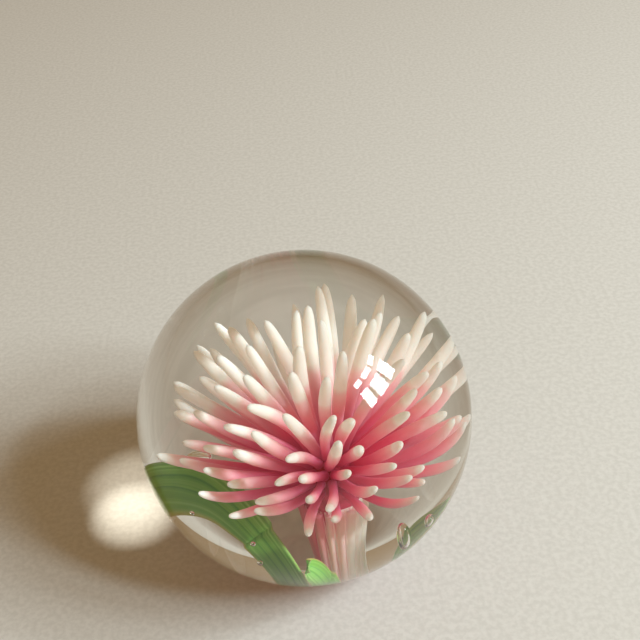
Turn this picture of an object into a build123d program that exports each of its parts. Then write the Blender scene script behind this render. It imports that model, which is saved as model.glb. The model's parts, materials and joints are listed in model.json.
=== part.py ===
"""Round glass paperweight: a many-petalled flower on a fluted stem, sealed in clear glass.

Millimetres, +Z up.  The origin is the middle of the ground flat the ball stands on,
the front is -Y.  Every inner piece fills its own pocket in the glass exactly.
"""
import math
import os

from build123d import *

# ---- glass ball ----------------------------------------------------------------
ball_radius = 32.0
flat_radius = 15.5            # ground and polished flat underneath
flat_bevel = 0.7              # eased edge between the flat and the sphere
glass_under_stem = 1.6        # glass left between the stem foot and the flat

# ---- flower heart --------------------------------------------------------------
flower_offset = 2.4           # the flower stands this far to the right of the ball axis
heart_drop = 9.3              # heart middle below the ball middle
petal_root_radius = 0.55
root_spacing = 0.12           # glass between two neighbouring petal roots
root_step = 14.2              # degrees between two rings of petal roots
heart_radius = (2 * petal_root_radius + root_spacing) / math.radians(root_step)

# ---- petals --------------------------------------------------------------------
side_cover = 7.5              # glass beside the longest petals
upper_belly_radius = 0.94     # thickest part of the petals in the top ring
lower_belly_radius = 0.70     # thickest part of the petals in the lowest ring
petal_tip_radius = 0.36       # rounded end
petal_sway = 4.5              # degrees a tip strays from its even place
crown_root_elevation = 75.5   # degrees above level, roots of the top ring
crown_tip_elevation = 77.0    # degrees above level, tips of the top ring
lowest_tip_elevation = 15.0   # the low petals curve up to here
ring_counts = (5, 12, 15, 18, 21, 22)
ring_names = ("petals_crown", "petals_ring_2", "petals_ring_3",
              "petals_ring_4", "petals_ring_5", "petals_ring_6")

# ---- stem ----------------------------------------------------------------------
stem_mouth_radius = 4.3       # trumpet mouth that cups the heart
stem_waist_radius = 1.5       # narrow part above the foot
stem_foot_radius = 1.4
mouth_clearance = 0.9         # glass between the trumpet mouth and the lowest petals
flute_count = 16
flute_share = 0.17            # flute radius as a share of the stem radius beside it

# ---- leaves --------------------------------------------------------------------
leaf_thickness = 0.9

# ---- trapped air ---------------------------------------------------------------
lens_bubble_radius = 1.4
oval_bubble_radius = 1.35
round_bubble_radius = 0.95
seed_bubble_radius = 0.4

# ---- values that follow --------------------------------------------------------
ball_middle = math.sqrt(ball_radius ** 2 - flat_radius ** 2)
heart_height = ball_middle - heart_drop
heart = Vector(flower_offset, 0, heart_height)
flower_reach = ball_radius - side_cover - flower_offset
ring_total = len(ring_counts)
lowest_root_elevation = crown_root_elevation - root_step * (ring_total - 1)
stem_foot_height = glass_under_stem
lowest_root_underside = (heart_height - petal_root_radius
                         + heart_radius * math.sin(math.radians(lowest_root_elevation)))
stem_top_height = lowest_root_underside - mouth_clearance


def direction(azimuth, elevation):
    """Unit vector; azimuth 0 is +X, 90 is +Y, elevation 90 is +Z, in degrees."""
    a, e = math.radians(azimuth), math.radians(elevation)
    return Vector(math.cos(a) * math.cos(e), math.sin(a) * math.cos(e), math.sin(e))


def wander(index, ring):
    """Even but irregular values between -1 and 1, two for each petal."""
    first = math.sin(2.4 * index + 1.7 * ring)
    second = math.sin(3.7 * index + 0.9 * ring + 1.0)
    return first, second


def tapered_tube(line, radii):
    """Smooth round tube through (share, radius) stations along a curve."""
    faces = []
    for share, radius in radii:
        station = Plane(origin=line @ share, z_dir=line % share)
        faces.append((station * Circle(radius)).face())
    return loft(faces)


def petal_line(root_way, tip_way, reach):
    """Middle line of a petal: straight out of the heart, then curving to its tip."""
    start = heart + root_way * (heart_radius - 0.3)
    middle = heart + root_way * (0.5 * reach)
    return Bezier(start, middle, heart + tip_way * (reach - petal_tip_radius))


def petal_radii(belly):
    """(share, radius) stations from root to tip."""
    return (
        (0.00, petal_root_radius),
        (0.30, 0.35 * petal_root_radius + 0.65 * belly),
        (0.60, belly),
        (0.83, 0.86 * belly),
        (1.00, petal_tip_radius),
    )


def petal(root_way, tip_way, reach, belly):
    """One finger-like petal: slim root in the heart, fuller belly, round tip, slightly curved."""
    line = petal_line(root_way, tip_way, reach)
    blade = tapered_tube(line, petal_radii(belly))
    tip = Pos(*tuple(line @ 1)) * Sphere(petal_tip_radius)
    return blade + tip


def heart_solid():
    """Small round heart every petal grows from."""
    return Pos(*tuple(heart)) * Sphere(heart_radius)


def ring_plan(ring):
    """Root way, tip way, reach and belly radius of each petal in a ring."""
    count = ring_counts[ring]
    down = ring / (ring_total - 1)
    root_elevation = crown_root_elevation - root_step * ring
    ease = down ** 0.75
    tip_elevation = crown_tip_elevation + (lowest_tip_elevation - crown_tip_elevation) * ease
    belly = upper_belly_radius + (lower_belly_radius - upper_belly_radius) * down
    plan = []
    for index in range(count):
        across, along = wander(index, ring)
        azimuth = 360.0 * (index + 0.5 * (ring % 2)) / count + 17.0 * ring
        swing = petal_sway * across / math.cos(math.radians(min(tip_elevation, 70.0)))
        tip_way = direction(azimuth + swing, tip_elevation + 0.7 * petal_sway * along)
        reach = flower_reach * (0.95 + 0.05 * across)
        plan.append((direction(azimuth, root_elevation), tip_way, reach, belly))
    return plan


def petal_ring(ring):
    """Petals of one ring, rooted evenly in the heart with swaying tips."""
    return [petal(*one) for one in ring_plan(ring)]


def stem_stations():
    """(radius, height) pairs of the stem's smooth outline, foot to mouth."""
    span = stem_top_height - stem_foot_height
    flare = stem_mouth_radius - stem_waist_radius
    return (
        (stem_foot_radius, stem_foot_height),
        (stem_waist_radius, stem_foot_height + 0.18 * span),
        (stem_waist_radius + 0.26 * flare, stem_foot_height + 0.45 * span),
        (stem_waist_radius + 0.62 * flare, stem_foot_height + 0.75 * span),
        (stem_mouth_radius, stem_top_height),
    )


def stem_core():
    """Solid trumpet, its mouth sunk into the heart."""
    stations = stem_stations()
    side = Spline(*[(radius, 0, height) for radius, height in stations])
    outline = Polyline((stations[-1][0], 0, stem_top_height), (0, 0, stem_top_height),
                       (0, 0, stem_foot_height), (stations[0][0], 0, stem_foot_height))
    body = revolve(make_face([side, outline]), Axis.Z)
    return Pos(flower_offset, 0, 0) * body


def stem_flutes():
    """Round flutes half sunk into the outside of the trumpet."""
    stations = stem_stations()
    line = Spline(*[(radius, 0, height) for radius, height in stations])
    radii = [(share, flute_share * (line @ share).X) for share in (0, 0.25, 0.5, 0.75, 1)]
    rib = tapered_tube(line, radii)
    turns = [360.0 * index / flute_count for index in range(flute_count)]
    return [Pos(flower_offset, 0, 0) * Rot(0, 0, turn) * rib for turn in turns]


def leaf(points, widths, facing):
    """Arched blade through the given points; facing is the way its upper face looks."""
    line = Spline(*points)
    faces = []
    for index, width in enumerate(widths):
        share = index / (len(widths) - 1)
        along = line % share
        across = along.cross(Vector(*facing))
        station = Plane(origin=line @ share, x_dir=across, z_dir=along)
        faces.append((station * Ellipse(width / 2, leaf_thickness / 2)).face())
    return loft(faces)


def stem_envelope():
    """Space taken by the fluted stem, with a hair of glass round it."""
    stations = stem_stations()
    grow = 1 + flute_share
    side = Spline(*[(radius * grow + 0.1, 0, height) for radius, height in stations])
    outline = Polyline((side @ 1), (0, 0, stem_top_height), (0, 0, 0),
                       (side @ 0).X * Vector(1, 0, 0), side @ 0)
    return Pos(flower_offset, 0, 0) * revolve(make_face([side, outline]), Axis.Z)


def leaf_at(reaches, azimuths, heights, widths, facing):
    """Leaf through stations of distance and azimuth round the stem, and height."""
    points = []
    for reach, azimuth, height in zip(reaches, azimuths, heights):
        flat = direction(azimuth, 0) * reach
        points.append((flower_offset + flat.X, flat.Y, height))
    return leaf(points, widths, tuple(direction(*facing))) - stem_envelope()


def bubble(x, y, z, radius, squash=(1, 1, 1)):
    """Trapped air: a stretched sphere placed from the middle of the ball."""
    blob = scale(Sphere(radius), by=squash)
    return Pos(x * ball_radius, y * ball_radius, ball_middle + z * ball_radius) * blob


def bubbles():
    """Air pockets left in the glass round the foot of the flower."""
    return [
        bubble(-0.388, 0.15, -0.286, lens_bubble_radius, (1, 0.7, 0.36)),
        bubble(0.337, -0.20, -0.479, oval_bubble_radius, (0.7, 0.7, 1.5)),
        bubble(0.472, -0.24, -0.418, round_bubble_radius, (0.9, 0.9, 1.2)),
        bubble(-0.27, -0.46, -0.30, seed_bubble_radius),
        bubble(-0.224, -0.30, -0.482, seed_bubble_radius),
        bubble(-0.517, -0.30, -0.229, seed_bubble_radius, (1, 1, 0.7)),
    ]


def glass_ball(inner):
    """Clear ball with a ground flat, hollowed exactly where the inner shapes sit."""
    ball = Pos(0, 0, ball_middle) * Sphere(ball_radius)
    ball -= Pos(0, 0, -ball_radius) * Box(3 * ball_radius, 3 * ball_radius, 2 * ball_radius)
    rim = ball.edges().filter_by(GeomType.CIRCLE).sort_by(Axis.Z)[0]
    ball = chamfer(rim, flat_bevel)
    for shape in inner:
        ball = ball - shape
    for air in bubbles():
        ball = ball - air
    return ball


def trimmed(shapes, *cutters):
    """The shapes as one piece, each cut back to the cutters it is sunk into."""
    kept = []
    for shape in shapes:
        for cutter in cutters:
            shape = shape - cutter
        kept.append(shape)
    return Compound(kept)


def leaves():
    """Three blades rising from the stem foot: left, right and a small front one."""
    top = stem_top_height
    left = leaf_at(
        (2.6, 8.0, 12.0, 12.8, 14.4, 18.0, 21.5),
        (212, 217, 207, 185, 164, 156, 157),
        (0.21 * top, 0.58 * top, 0.92 * top, 0.94 * top, 0.86 * top, 0.80 * top, 0.76 * top),
        (2.4, 4.0, 4.3, 4.2, 4.2, 4.2, 2.4), (225, 34))
    right = leaf_at(
        (2.6, 8.0, 11.0, 14.0, 16.8), (-20, -20, -20, -20, -20),
        (0.20 * top, 0.56 * top, 0.70 * top, 0.79 * top, 0.90 * top),
        (2.2, 3.6, 4.2, 4.0, 1.8), (215, 50))
    front = leaf_at(
        (2.6, 4.6, 6.2, 7.4), (258, 250, 244, 240),
        (0.20 * top, 0.38 * top, 0.52 * top, 0.60 * top),
        (1.9, 3.4, 3.2, 0.9), (250, 55))
    return {"leaf_left": left, "leaf_right": right, "leaf_front": front}


def build():
    """Every piece by name, in place."""
    middle, core, flutes = heart_solid(), stem_core(), stem_flutes()
    pieces = {"flower_heart": middle}
    hollows = [middle, core, Compound(flutes)]
    for ring, name in enumerate(ring_names):
        petals = petal_ring(ring)
        pieces[name] = trimmed(petals, middle)
        hollows.append(Compound(petals))
    pieces["stem_core"] = trimmed([core], middle)
    pieces["stem_flutes"] = trimmed(flutes, core, middle)
    for name, blade in leaves().items():
        pieces[name] = blade
        hollows.append(blade)
    pieces["glass_body"] = glass_ball(hollows)
    return pieces


if __name__ == "__main__":
    os.makedirs("parts", exist_ok=True)
    for name, solid in build().items():
        solid.label = name
        export_step(solid, f"parts/{name}.step")
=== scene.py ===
"""Glass flower paperweight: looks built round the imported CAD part, in metres."""
import json
import math
import random

import bmesh
import bpy
import numpy as np
from mathutils import Matrix, Vector

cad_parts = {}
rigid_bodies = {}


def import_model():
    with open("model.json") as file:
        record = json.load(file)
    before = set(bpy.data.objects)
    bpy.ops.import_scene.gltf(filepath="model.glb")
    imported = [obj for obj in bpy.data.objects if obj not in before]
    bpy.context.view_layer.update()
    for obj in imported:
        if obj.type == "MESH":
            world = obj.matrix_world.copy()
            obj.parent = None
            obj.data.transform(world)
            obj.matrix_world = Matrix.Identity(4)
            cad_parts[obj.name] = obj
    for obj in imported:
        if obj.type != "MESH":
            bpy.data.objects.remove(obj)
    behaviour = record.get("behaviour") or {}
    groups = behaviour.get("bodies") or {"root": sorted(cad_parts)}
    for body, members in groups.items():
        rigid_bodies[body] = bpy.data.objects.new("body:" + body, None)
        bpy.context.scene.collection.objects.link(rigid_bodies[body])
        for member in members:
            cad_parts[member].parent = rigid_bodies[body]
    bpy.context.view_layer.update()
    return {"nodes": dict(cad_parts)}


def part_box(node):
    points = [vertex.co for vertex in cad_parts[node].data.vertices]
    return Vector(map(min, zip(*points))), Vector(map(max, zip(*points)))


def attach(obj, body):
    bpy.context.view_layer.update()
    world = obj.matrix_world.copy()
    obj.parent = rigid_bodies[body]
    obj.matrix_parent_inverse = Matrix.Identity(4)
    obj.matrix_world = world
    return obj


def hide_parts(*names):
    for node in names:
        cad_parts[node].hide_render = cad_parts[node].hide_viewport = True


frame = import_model()
MM = 0.001
rng = random.Random(11)

# ---- where things are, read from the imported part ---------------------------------
ball_low, ball_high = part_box("glass_body")
BALL_R = (ball_high.x - ball_low.x) / 2
BALL_C = Vector(((ball_high.x + ball_low.x) / 2, (ball_high.y + ball_low.y) / 2, ball_high.z - BALL_R))
FLAT_Z = ball_low.z
heart_low, heart_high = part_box("flower_heart")
HEART = (heart_low + heart_high) / 2
HEART_R = (heart_high.x - heart_low.x) / 2
foot_low, foot_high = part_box("stem_core")
FOOT = Vector((HEART.x, HEART.y, foot_low.z))


def welded(node):
    """Points of a CAD node joined where its faces meet, and the edges between them."""
    mesh = frame["nodes"][node].data
    co = np.empty(len(mesh.vertices) * 3, np.float32)
    mesh.vertices.foreach_get("co", co)
    spots, back = np.unique(np.round(co.reshape(-1, 3) * 1e6).astype(np.int64), axis=0, return_inverse=True)
    ends = np.empty(len(mesh.edges) * 2, np.int32)
    mesh.edges.foreach_get("vertices", ends)
    return spots * 1e-6, back.reshape(-1)[ends.reshape(-1, 2)]


def islands(node):
    """Vertex clouds of a CAD node's separate solids or pockets."""
    points, ends = welded(node)
    label = np.arange(len(points))
    while True:
        low = np.minimum(label[ends[:, 0]], label[ends[:, 1]])
        new = label.copy()
        np.minimum.at(new, ends[:, 0], low)
        np.minimum.at(new, ends[:, 1], low)
        new = new[new]
        if (new == label).all():
            break
        label = new
    return [points[label == k] for k in np.unique(label)]


def walked(points, ends, start):
    """Distance of every point from the start point, walking along the edges."""
    far = np.full(len(points), 1e3)
    far[start] = 0.0
    span = np.linalg.norm(points[ends[:, 0]] - points[ends[:, 1]], axis=1)
    while True:
        new = far.copy()
        np.minimum.at(new, ends[:, 0], far[ends[:, 1]] + span)
        np.minimum.at(new, ends[:, 1], far[ends[:, 0]] + span)
        if np.allclose(new, far, atol=1e-9):
            return far
        far = new


# ---- small helpers -----------------------------------------------------------------
def material(name):
    """A fresh node material; returns it with its tree and Principled shader."""
    mat = bpy.data.materials.new(name)
    mat.use_nodes = True
    tree = mat.node_tree
    return mat, tree, tree.nodes["Principled BSDF"]


def node(tree, kind, **values):
    """Add a node and set its plain inputs or properties by name."""
    made = tree.nodes.new(kind)
    for key, value in values.items():
        if key in made.inputs:
            made.inputs[key].default_value = value
        else:
            setattr(made, key, value)
    return made


def ramp(tree, source, stops, interpolation="EASE"):
    """Colour ramp from (position, colour) stops."""
    made = tree.nodes.new("ShaderNodeValToRGB")
    made.color_ramp.interpolation = interpolation
    elements = made.color_ramp.elements
    while len(elements) < len(stops):
        elements.new(0.5)
    for element, (position, colour) in zip(elements, stops):
        element.position = position
        element.color = (*colour, 1)
    tree.links.new(source, made.inputs["Fac"])
    return made


def attribute(tree, name):
    """Read a per-vertex value stored on the mesh."""
    return node(tree, "ShaderNodeAttribute", attribute_name=name).outputs["Fac"]


def clouds(tree, scale, detail):
    """Noise in the object's own coordinates."""
    where = node(tree, "ShaderNodeTexCoord")
    noise = node(tree, "ShaderNodeTexNoise", Scale=scale, Detail=detail)
    tree.links.new(where.outputs["Object"], noise.inputs["Vector"])
    return noise.outputs["Fac"]


def stripes_by(tree, value, scale, detail):
    """Noise that changes only with one stored value, so it runs as stripes."""
    noise = node(tree, "ShaderNodeTexNoise", noise_dimensions="1D", Scale=scale, Detail=detail)
    tree.links.new(value, noise.inputs["W"])
    return noise.outputs["Fac"]


def weighted(tree, value, weight, base):
    """value x weight + base."""
    made = node(tree, "ShaderNodeMath", operation="MULTIPLY_ADD")
    tree.links.new(value, made.inputs[0])
    made.inputs[1].default_value = weight
    tree.links.new(base, made.inputs[2])
    return made.outputs[0]


def milky_with_painted_glow(tree, shader, colour, glow, depth, spread, weight, gloss):
    """Coloured glass that scatters light inside, with a painted glow: it also gives off light of its own
    colour at strength glow. Depth in mm, spread per colour channel.
    """
    tree.links.new(colour, shader.inputs["Base Color"])
    # painted glow: the surface gives off light in its own colour, though it is no lamp
    tree.links.new(colour, shader.inputs["Emission Color"])
    shader.inputs["Emission Strength"].default_value = glow
    shader.inputs["Subsurface Weight"].default_value = weight
    shader.inputs["Subsurface Radius"].default_value = spread
    shader.inputs["Subsurface Scale"].default_value = depth * MM
    shader.inputs["Roughness"].default_value = 0.5
    shader.inputs["Specular IOR Level"].default_value = gloss


def mesh_object(name, verts, faces, values=None):
    """New smooth-shaded mesh object, with optional per-vertex float attributes."""
    mesh = bpy.data.meshes.new(name)
    mesh.from_pydata([tuple(v) for v in verts], [], faces)
    mesh.shade_smooth()
    for key, data in (values or {}).items():
        layer = mesh.attributes.new(key, "FLOAT", "POINT")
        layer.data.foreach_set("value", np.asarray(data, np.float32))
    mesh.update()
    made = bpy.data.objects.new(name, mesh)
    bpy.context.scene.collection.objects.link(made)
    return made


def finish_piece(piece, mat, slot, *nodes):
    """Give the piece its material and tie it to the CAD."""
    piece.data.materials.append(mat)
    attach(piece, "root")
    if nodes:
        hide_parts(*nodes)
    return piece


def frames_along(points):
    """Smoothly turning (tangent, side, up) frames along a line of points."""
    tangents = [(points[min(i + 1, len(points) - 1)] - points[max(i - 1, 0)]).normalized()
                for i in range(len(points))]
    side = tangents[0].orthogonal().normalized()
    out = []
    for tangent in tangents:
        side = (side - tangent * side.dot(tangent)).normalized()
        out.append((tangent, side, tangent.cross(side)))
    return out


def add_island(verts, faces, more, rings):
    """Append a closed shape's vertices and faces to a growing mesh."""
    start = len(verts)
    verts += more
    faces += [tuple(i + start for i in f) for f in rings]


def tube(points, radii, sides, squash=1.0):
    """Round tube with closed ends through the points; returns vertices and faces."""
    verts, faces = [], []
    for point, radius, (_, side, up) in zip(points, radii, frames_along(points)):
        for k in range(sides):
            a = 2 * math.pi * k / sides
            verts.append(point + side * (math.cos(a) * radius) + up * (math.sin(a) * radius * squash))
    for i in range(len(points) - 1):
        for k in range(sides):
            n = (k + 1) % sides
            faces.append((i * sides + k, i * sides + n, (i + 1) * sides + n, (i + 1) * sides + k))
    faces.append(tuple(reversed(range(sides))))
    last = (len(points) - 1) * sides
    faces.append(tuple(range(last, last + sides)))
    return verts, faces


# ---- materials ---------------------------------------------------------------------
PAINTED_GLOW = 0.11          # painted glow: petals, stem and leaves give off faint light in their own colour, standing for light scattered inside milky glass


def clear_glass():
    """Slightly warm clear glass."""
    mat, _, shader = material("clear_glass")
    shader.inputs["Base Color"].default_value = (0.955, 0.95, 0.905, 1)
    shader.inputs["Roughness"].default_value = 0.0
    shader.inputs["IOR"].default_value = 1.5
    shader.inputs["Transmission Weight"].default_value = 1.0
    return mat


def petal_glass(name):
    """Deep rose at the root through pink to a cream tip, a little cloudy."""
    mat, tree, shader = material(name)
    along, cream = attribute(tree, "along"), attribute(tree, "cream")
    wobble = clouds(tree, 420.0, 3.0)
    shift = weighted(tree, cream, 0.55, along)
    tone = ramp(tree, weighted(tree, wobble, 0.10, shift), (
        (0.18, (0.60, 0.065, 0.15)),
        (0.46, (0.77, 0.16, 0.26)),
        (0.72, (0.90, 0.36, 0.41)),
        (0.92, (0.96, 0.61, 0.59)),
        (1.00, (0.98, 0.90, 0.80)),
    ), "LINEAR")
    milky_with_painted_glow(tree, shader, tone.outputs["Color"], glow=PAINTED_GLOW, depth=2.5,
          spread=(1.0, 0.75, 0.65), weight=0.9, gloss=0.1)
    return mat


def heart_glass():
    """Cloudy deep rose."""
    mat, tree, shader = material("heart_glass")
    tone = ramp(tree, clouds(tree, 300.0, 4.0), ((0.3, (0.60, 0.045, 0.10)), (0.7, (0.74, 0.09, 0.17))))
    tree.links.new(tone.outputs["Color"], shader.inputs["Base Color"])
    shader.inputs["Roughness"].default_value = 0.6
    shader.inputs["Specular IOR Level"].default_value = 0.15
    return mat


def stem_glass(name, dark, light):
    """Streaked along the stem; paler towards the lamps on +x, painted light laid over its own cream colour;
    darker towards the mouth.
    """
    mat, tree, shader = material(name)
    turn, side, rise = (attribute(tree, key) for key in ("round", "painted_lit_side", "rise"))
    streak = stripes_by(tree, turn, 55.0, 3.0)
    # painted light: the stem turns paler on the side that faces the lamps
    mix = weighted(tree, side, 0.55, streak)
    deep = weighted(tree, rise, -0.24, mix)
    tone = ramp(tree, deep, ((0.30, dark), (0.62, (0.93, 0.58, 0.54)), (0.82, light)))
    milky_with_painted_glow(tree, shader, tone.outputs["Color"], glow=PAINTED_GLOW, depth=1.4,
          spread=(1.0, 0.6, 0.5), weight=0.6, gloss=0.15)
    return mat


def leaf_glass():
    """Green with lengthwise stripes, a yellow line along one edge and a painted lime highlight along the
    other.
    """
    mat, tree, shader = material("leaf_glass")
    across = attribute(tree, "across")
    body = ramp(tree, stripes_by(tree, across, 9.0, 4.0), (
        (0.32, (0.10, 0.34, 0.05)), (0.52, (0.21, 0.50, 0.08)), (0.72, (0.36, 0.64, 0.18))))
    # yellow line on one edge; the pale lime on the other edge is a painted highlight
    edge = ramp(tree, across, (
        (0.0, (0.62, 0.60, 0.16)), (0.07, (0.62, 0.60, 0.16)), (0.12, (0.09, 0.20, 0.03)),
        (0.80, (0.09, 0.20, 0.03)), (0.97, (0.33, 0.50, 0.16))), "LINEAR")
    # mask for the edge colours: full at the yellow edge, 0.8 at the painted-highlight edge
    band = ramp(tree, across, (
        (0.0, (1, 1, 1)), (0.10, (0, 0, 0)), (0.84, (0, 0, 0)), (1.0, (0.8, 0.8, 0.8))))
    blend = node(tree, "ShaderNodeMix", data_type="RGBA")
    tree.links.new(band.outputs["Color"], blend.inputs[0])
    tree.links.new(body.outputs["Color"], blend.inputs[6])
    tree.links.new(edge.outputs["Color"], blend.inputs[7])
    milky_with_painted_glow(tree, shader, blend.outputs[2], glow=0.6 * PAINTED_GLOW, depth=1.2,
          spread=(0.5, 1.0, 0.3), weight=0.45, gloss=0.2)
    return mat


# ---- the ball ----------------------------------------------------------------------
LARGEST_BUBBLE = 6 * MM       # any larger pocket in the CAD ball holds a piece, not air
BALL_TURNS, BALL_STEPS = 256, 150


def lathe_rows(profile, turns):
    """Vertices and faces of a lathed outline that starts and ends on the axis."""
    verts = [Vector((BALL_C.x, BALL_C.y, profile[0][1]))]
    rows = profile[1:-1]
    for radius, height in rows:
        for k in range(turns):
            a = 2 * math.pi * k / turns
            verts.append(Vector((BALL_C.x + radius * math.cos(a), BALL_C.y + radius * math.sin(a), height)))
    verts.append(Vector((BALL_C.x, BALL_C.y, profile[-1][1])))
    faces = []
    top = len(verts) - 1
    for k in range(turns):
        n = (k + 1) % turns
        faces.append((0, 1 + n, 1 + k))
        for i in range(len(rows) - 1):
            a, b = 1 + i * turns, 1 + (i + 1) * turns
            faces.append((a + k, a + n, b + n, b + k))
        last = 1 + (len(rows) - 1) * turns
        faces.append((last + k, last + n, top))
    return verts, faces


def ball_profile():
    """Outline from the middle of the flat, round the eased edge, to the top."""
    drop = BALL_C.z - FLAT_Z
    flat_edge = math.asin(min(1, drop / BALL_R))
    flat_r = math.sqrt(BALL_R ** 2 - drop ** 2)
    ease = 0.7 * MM
    out = [(0, FLAT_Z), (flat_r * 0.5, FLAT_Z), (flat_r - ease * 1.2, FLAT_Z), (flat_r - ease, FLAT_Z)]
    start = -flat_edge + ease / BALL_R
    sx, sz = BALL_R * math.cos(start), BALL_C.z + BALL_R * math.sin(start)
    out += [(flat_r - ease * 0.3, FLAT_Z + ease * 0.18), (sx - ease * 0.1, sz - ease * 0.35)]
    for i in range(BALL_STEPS):
        a = start + (math.pi / 2 - start) * i / BALL_STEPS
        out.append((BALL_R * math.cos(a), BALL_C.z + BALL_R * math.sin(a)))
    out.append((0, BALL_C.z + BALL_R))
    return out


def bubble_mesh(cloud):
    """Smooth air pocket in the place and size of one pocket of the CAD ball, facing inwards."""
    low, high = cloud.min(0), cloud.max(0)
    centre, half = Vector((low + high) / 2), (high - low) / 2
    bm = bmesh.new()
    bmesh.ops.create_uvsphere(bm, u_segments=40, v_segments=24, radius=1.0)
    verts = [centre + Vector((v.co.x * half[0], v.co.y * half[1], v.co.z * half[2])) for v in bm.verts]
    faces = [tuple(reversed([v.index for v in f.verts])) for f in bm.faces]
    bm.free()
    return verts, faces


def build_ball():
    """One mesh: the ground and polished outside, and an inward shell for each air bubble."""
    verts, faces = lathe_rows(ball_profile(), BALL_TURNS)
    pockets = [c for c in islands("glass_body") if (c.max(0) - c.min(0)).max() < LARGEST_BUBBLE]
    print("air pockets found", len(pockets))
    for cloud in pockets:
        add_island(verts, faces, *bubble_mesh(cloud))
    ball = mesh_object("ball", verts, faces)
    return finish_piece(ball, clear_glass(), "glass", "glass_body")


# ---- the flower --------------------------------------------------------------------
PETAL_SIDES, PETAL_STEPS = 14, 34
PETAL_BEND = 0.6 * MM         # largest sideways bow of a petal, along each axis


def centre_line(cloud):
    """Smooth middle line of one petal fitted to its CAD solid, its reach and its thickest radius."""
    away = np.linalg.norm(cloud - np.array(HEART), axis=1)
    fit = [np.polyfit(away, cloud[:, k], 2) for k in range(3)]
    far = away.max()
    middle = np.stack([np.polyval(f, away) for f in fit], axis=1)
    thick = np.linalg.norm(cloud - middle, axis=1).max()
    return lambda d: Vector([np.polyval(f, d) for f in fit]), far, thick


def petal_radius(u):
    """Thickness of a petal along its length, as a share of its thickest part."""
    shape = ((0.0, 0.92), (0.10, 0.74), (0.28, 0.80), (0.50, 0.97), (0.64, 1.0), (0.78, 0.93),
             (0.88, 0.83), (0.94, 0.69), (0.975, 0.50), (0.992, 0.30), (1.0, 0.08))
    for (a, ra), (b, rb) in zip(shape, shape[1:]):
        if u <= b:
            t = (u - a) / (b - a)
            t = t * t * (3 - 2 * t) if b < 0.9 else t
            return ra + (rb - ra) * t
    return shape[-1][1]


def creaminess(way):
    """How early a petal turns cream: top ones and far ones first, side and front ones last."""
    return min(1.0, 1.1 * max(0.0, way.z - 0.50) + 0.75 * max(0.0, way.y))


def build_petals(name):
    """A ring of petals along the middle lines of its CAD solids, each a little different."""
    verts, faces, along, cream = [], [], [], []
    near = HEART_R * 0.86
    for cloud in islands(name):
        line, far, thick = centre_line(cloud)
        bend = Vector([rng.uniform(-1, 1) for _ in range(3)]) * PETAL_BEND
        thick *= rng.uniform(0.90, 1.04)
        points, radii, us = [], [], []
        for i in range(PETAL_STEPS):
            u = (i / (PETAL_STEPS - 1)) ** 0.8
            points.append(line(near + (far - near) * u) + bend * math.sin(math.pi * u))
            radii.append(thick * petal_radius(u))
            us.append(u)
        way = (points[-1] - HEART).normalized()
        tone = creaminess(way) + rng.uniform(-0.08, 0.08)
        more, rings = tube(points, radii, PETAL_SIDES, squash=rng.uniform(0.88, 1.0))
        add_island(verts, faces, more, rings)
        for u in us:
            along += [u] * PETAL_SIDES
        cream += [tone] * len(more)
    piece = mesh_object(name + "_glass", verts, faces, {"along": along, "cream": cream})
    return finish_piece(piece, petal_glass(name + "_tone"), "petal", name)


def build_heart():
    """Slightly lumpy ball that the petals grow from."""
    bm = bmesh.new()
    bmesh.ops.create_icosphere(bm, subdivisions=5, radius=1.0)
    verts = []
    for v in bm.verts:
        n = v.co.normalized()
        lump = 0.035 * math.sin(9 * n.x + 4 * n.z) * math.sin(8 * n.y - 3 * n.x)
        verts.append(HEART + n * HEART_R * (0.97 + lump))
    faces = [tuple(v.index for v in f.verts) for f in bm.faces]
    bm.free()
    piece = mesh_object("heart_glass", verts, faces)
    return finish_piece(piece, heart_glass(), "heart", "flower_heart")


# ---- stem --------------------------------------------------------------------------
STEM_TURNS, STEM_ROWS = 192, 40
FLUTES, FLUTE_SIDES = 16, 10
STEM_TWIST = 0.25             # radians that the flutes turn from foot to mouth


def stem_outline():
    """Stem radius at each height, read from the CAD stem."""
    cloud = np.concatenate(islands("stem_core"))
    spread = np.hypot(cloud[:, 0] - FOOT.x, cloud[:, 1] - FOOT.y)
    heights = np.linspace(foot_low.z, foot_high.z, 9)
    radii = []
    band = 1.1 * MM
    for h in heights:
        near = np.abs(cloud[:, 2] - h) < band
        radii.append(spread[near].max() if near.any() else radii[-1])
    fit = np.polyfit(heights, radii, 4)
    return lambda z: float(np.polyval(fit, z))


def build_core(outline):
    """The trumpet, closed at both ends, with a trace of the flutes on it."""
    low, high = foot_low.z, foot_high.z
    verts, faces, turned, painted_lit_side, rise = [], [], [], [], []
    for i in range(STEM_ROWS):
        z = low + (high - low) * i / (STEM_ROWS - 1)
        for k in range(STEM_TURNS):
            a = 2 * math.pi * k / STEM_TURNS
            twist = a + STEM_TWIST * (z - low) / (high - low)
            r = outline(z) * (1.0 + 0.02 * math.cos(FLUTES * twist))
            verts.append(Vector((FOOT.x + r * math.cos(a), FOOT.y + r * math.sin(a), z)))
            turned.append(twist / (2 * math.pi))
            # painted light: 1 on the side that faces the lamps (+x), 0 on the far side
            painted_lit_side.append(0.5 + 0.5 * math.cos(a))
            rise.append((i / (STEM_ROWS - 1)) ** 2)
    for i in range(STEM_ROWS - 1):
        for k in range(STEM_TURNS):
            here, above, n = i * STEM_TURNS, (i + 1) * STEM_TURNS, (k + 1) % STEM_TURNS
            faces.append((here + k, here + n, above + n, above + k))
    faces.append(tuple(reversed(range(STEM_TURNS))))
    faces.append(tuple(range((STEM_ROWS - 1) * STEM_TURNS, STEM_ROWS * STEM_TURNS)))
    values = {"round": turned, "painted_lit_side": painted_lit_side, "rise": rise}
    core = mesh_object("stem_core_glass", verts, faces, values)
    finish_piece(core, stem_glass("stem_tone", (0.58, 0.06, 0.12), (0.96, 0.82, 0.72)), "stem", "stem_core")


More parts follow.
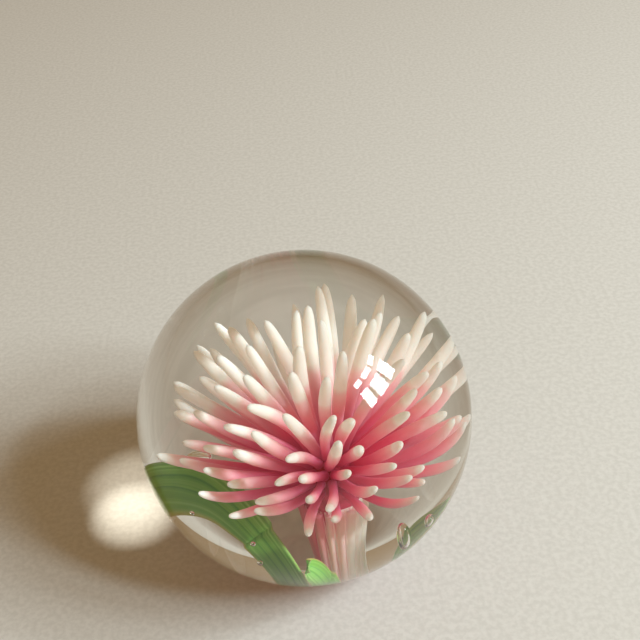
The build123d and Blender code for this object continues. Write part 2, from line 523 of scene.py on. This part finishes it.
def build_flutes(outline):
    """Raised rods up the outside of the trumpet."""
    low, high = foot_low.z, foot_high.z
    verts, faces, turned, painted_lit_side, rise = [], [], [], [], []
    for rib in range(FLUTES):
        base = 2 * math.pi * rib / FLUTES
        points, radii = [], []
        for i in range(STEM_ROWS):
            t = i / (STEM_ROWS - 1)
            z = low + (high - low) * (0.01 + 0.97 * t)
            a = base + STEM_TWIST * t + 0.03 * math.sin(5 * t + rib)
            r = outline(z) * 1.02
            points.append(Vector((FOOT.x + r * math.cos(a), FOOT.y + r * math.sin(a), z)))
            radii.append(outline(z) * (0.15 + 0.03 * math.sin(2.1 * rib)))
            rise += [t ** 2] * FLUTE_SIDES
        more, rings = tube(points, radii, FLUTE_SIDES)
        add_island(verts, faces, more, rings)
        turned += [rib / FLUTES * 1.7] * len(more)
        # painted light: flutes on the lamp side (+x) are painted paler
        painted_lit_side += [0.5 + 0.5 * math.cos(base)] * len(more)
    values = {"round": turned, "painted_lit_side": painted_lit_side, "rise": rise}
    flutes = mesh_object("stem_flutes_glass", verts, faces, values)
    finish_piece(flutes, stem_glass("flute_tone", (0.74, 0.20, 0.24), (0.97, 0.90, 0.82)),
                 "flutes", "stem_flutes")


# ---- leaves ------------------------------------------------------------------------
LEAF_ROWS, LEAF_COLUMNS = 60, 17
LEAF_HALF_THICK = 0.5 * MM


def leaf_stations(name, count=15):
    """Middle, half-width direction and half-width along a CAD leaf, foot to tip."""
    points, ends = welded(name)
    start = np.linalg.norm(points - np.array(FOOT), axis=1).argmin()
    away = walked(points, ends, start)
    high = away.max()
    band = max(0.7 * MM, high * 0.025)
    out = []
    for i in range(count):
        d = high * (0.03 + 0.94 * i / (count - 1))
        ring = points[np.abs(away - d) < band]
        middle = (ring.max(0) + ring.min(0)) / 2
        _, _, axes = np.linalg.svd(ring - ring.mean(0), full_matrices=False)
        side = Vector(axes[0])
        if out and side.dot(out[-1][1]) < 0:
            side = -side
        reach = (ring - ring.mean(0)) @ np.array(side)
        out.append((Vector(middle), side, (reach.max() - reach.min()) / 2))
    return out


def build_leaf(name, seed):
    """A grooved, rounded strap along the middle line of the CAD leaf."""
    stations = leaf_stations(name)
    shares = np.linspace(0, 1, len(stations))
    line = [np.polyfit(shares, [s[0][k] for s in stations], 5) for k in range(3)]
    trust = [0.02 if i < 2 or i > len(stations) - 3 else 1.0 for i in range(len(stations))]
    turn = [np.polyfit(shares, [s[1][k] for s in stations], 4, w=trust) for k in range(3)]
    width = np.polyfit(shares, [s[2] for s in stations], 4)
    top, bottom, across = [], [], []
    for i in range(LEAF_ROWS):
        t = i / (LEAF_ROWS - 1)
        middle = Vector([np.polyval(f, t) for f in line])
        ahead = Vector([np.polyval(np.polyder(f), t) for f in line]).normalized()
        side = Vector([np.polyval(f, t) for f in turn])
        side = (side - ahead * side.dot(ahead)).normalized()
        up = ahead.cross(side)
        if up.z < 0:
            up = -up
        half = max(float(np.polyval(width, t)), 0.25 * MM) * (1 + 0.03 * math.sin(9 * t + seed))
        fullness = 0.35 + 0.65 * math.sin(math.pi * min(1, t * 1.1)) ** 0.5
        for k in range(LEAF_COLUMNS):
            s = -1 + 2 * k / (LEAF_COLUMNS - 1)
            body = LEAF_HALF_THICK * math.sqrt(max(0.0, 1 - s * s)) * fullness
            groove = 0.10 * MM * math.exp(-(s / 0.12) ** 2) + 0.04 * MM * math.cos(10 * s)
            place = middle + side * (s * half) + up * (-0.35 * MM * s * s)
            top.append(place + up * (body - groove * (1 - s * s)))
            bottom.append(place - up * body)
            across.append(0.5 - 0.5 * s)
    faces = []
    n = LEAF_ROWS * LEAF_COLUMNS
    for i in range(LEAF_ROWS - 1):
        for k in range(LEAF_COLUMNS - 1):
            a, b = i * LEAF_COLUMNS + k, (i + 1) * LEAF_COLUMNS + k
            faces.append((a, a + 1, b + 1, b))
            faces.append((n + a, n + b, n + b + 1, n + a + 1))
        for k in (0, LEAF_COLUMNS - 1):
            a, b = i * LEAF_COLUMNS + k, (i + 1) * LEAF_COLUMNS + k
            faces.append((a, b, n + b, n + a) if k == 0 else (a, n + a, n + b, b))
    for i in (0, LEAF_ROWS - 1):
        for k in range(LEAF_COLUMNS - 1):
            a = i * LEAF_COLUMNS + k
            faces.append((a, n + a, n + a + 1, a + 1) if i == 0 else (a, a + 1, n + a + 1, n + a))
    piece = mesh_object(name + "_glass", top + bottom, faces, {"across": across * 2})
    return finish_piece(piece, leaf_glass(), "leaf", name)


# ---- stage, lights, camera -----------------------------------------------------------
FLOOR_HALF, FLOOR_DROP = 3.0, 0.02 * MM


def build_floor():
    """Plain pale floor just under the flat."""
    mat, tree, shader = material("pale_floor")
    tone = ramp(tree, clouds(tree, 900.0, 2.0), ((0.3, (0.66, 0.645, 0.59)), (0.7, (0.74, 0.725, 0.67))))
    tree.links.new(tone.outputs["Color"], shader.inputs["Base Color"])
    shader.inputs["Roughness"].default_value = 0.9
    corners = ((-1, -1), (1, -1), (1, 1), (-1, 1))
    floor = mesh_object("floor", [Vector((x * FLOOR_HALF, y * FLOOR_HALF, FLAT_Z - FLOOR_DROP))
                                  for x, y in corners], [(0, 1, 2, 3)])
    floor.data.materials.append(mat)


def aim(thing, target):
    """Turn a light so that it faces the target."""
    thing.rotation_mode = "QUATERNION"
    thing.rotation_quaternion = (target - thing.location).to_track_quat("-Z", "Y")


PANE_GLOW = 47.0              # radiance of a full-strength pane


def light_pane(azimuth, elevation, width, height, radiance):
    """One pane of the soft window light; angles in degrees as seen from the ball, 1 m away."""
    a, e = math.radians(azimuth), math.radians(elevation)
    way = Vector((math.cos(a) * math.cos(e), math.sin(a) * math.cos(e), math.sin(e)))
    data = bpy.data.lights.new("pane", "AREA")
    data.shape = "RECTANGLE"
    data.size, data.size_y = math.radians(width) * math.cos(e), math.radians(height)
    data.energy = radiance * math.pi * data.size * data.size_y
    data.color = (0.84, 0.943, 1.0)
    light = bpy.data.objects.new("pane", data)
    light.location = BALL_C + way
    aim(light, BALL_C)
    data.cycles.is_caustics_light = True
    bpy.context.scene.collection.objects.link(light)


def gathered_light(reach, azimuth, cone, power):
    """Soft spot that stands for the pool of window light a glass ball gathers beside it."""
    data = bpy.data.lights.new("pool", "SPOT")
    data.energy, data.color = power, (1.0, 0.96, 0.85)
    data.spot_size, data.spot_blend, data.shadow_soft_size = math.radians(cone), 1.0, 0.0
    a = math.radians(azimuth)
    spot = Vector((BALL_C.x + math.cos(a) * reach * BALL_R, BALL_C.y + math.sin(a) * reach * BALL_R, FLAT_Z))
    light = bpy.data.objects.new("pool", data)
    light.location = spot + Vector((-0.4, 0.1, 2.0)) * BALL_R
    aim(light, spot)
    bpy.context.scene.collection.objects.link(light)


def build_lights():
    """Soft panes to the right of the ball, two pools on the floor at its left, and a dim warm room."""
    upper, lower = 46.0, 35.5
    for azimuth, wide, share in ((-6.5, 9.0, 1.0), (-20.0, 12.0, 0.45), (-33.5, 8.0, 1.0)):
        light_pane(azimuth, upper, wide, 3.2, PANE_GLOW)
        light_pane(azimuth, lower, wide, 10.5, PANE_GLOW * share)
    gathered_light(1.19, 172.0, 19.0, 0.165)
    gathered_light(1.24, 160.0, 24.0, 0.085)
    world = bpy.data.worlds.new("studio")
    world.use_nodes = True
    bpy.context.scene.world = world
    back = world.node_tree.nodes["Background"]
    back.inputs["Color"].default_value = (0.305, 0.203, 0.105, 1)
    back.inputs["Strength"].default_value = 1.0


def build_camera():
    """Looks down on the ball from the front, turned so that the ball sits low in the picture."""
    elevation, roll = math.radians(42.0), math.radians(5.0)
    tilt_up, pan = math.radians(5.05), math.radians(0.82)
    data = bpy.data.cameras.new("camera")
    data.lens, data.sensor_width = 61.1, 36.0
    data.clip_start, data.clip_end = 0.01, 20
    camera = bpy.data.objects.new("camera", data)
    back = Vector((0, -math.cos(elevation), math.sin(elevation)))
    camera.location = BALL_C + back * (6.57 * BALL_R)
    look = (-back).to_track_quat("-Z", "Y").to_matrix()
    turned = (look @ Matrix.Rotation(-roll, 3, "Z") @ Matrix.Rotation(tilt_up, 3, "X")
              @ Matrix.Rotation(-pan, 3, "Y"))
    camera.rotation_mode = "QUATERNION"
    camera.rotation_quaternion = turned.to_quaternion()
    bpy.context.scene.collection.objects.link(camera)
    bpy.context.scene.camera = camera


build_ball()
build_heart()
for ring in sorted(n for n in frame["nodes"] if n.startswith("petals_")):
    build_petals(ring)
stem_shape = stem_outline()
build_core(stem_shape)
build_flutes(stem_shape)
for index, leaf in enumerate(sorted(n for n in frame["nodes"] if n.startswith("leaf_"))):
    build_leaf(leaf, index)
build_floor()
build_lights()
build_camera()
bpy.context.scene.view_settings.view_transform = "Standard"
# The ball focuses window light onto what is inside it.
for thing in bpy.context.scene.objects:
    if thing.type == "MESH":
        thing.cycles.is_caustics_caster = thing.name == "ball"
        thing.cycles.is_caustics_receiver = thing.name not in ("ball", "floor")
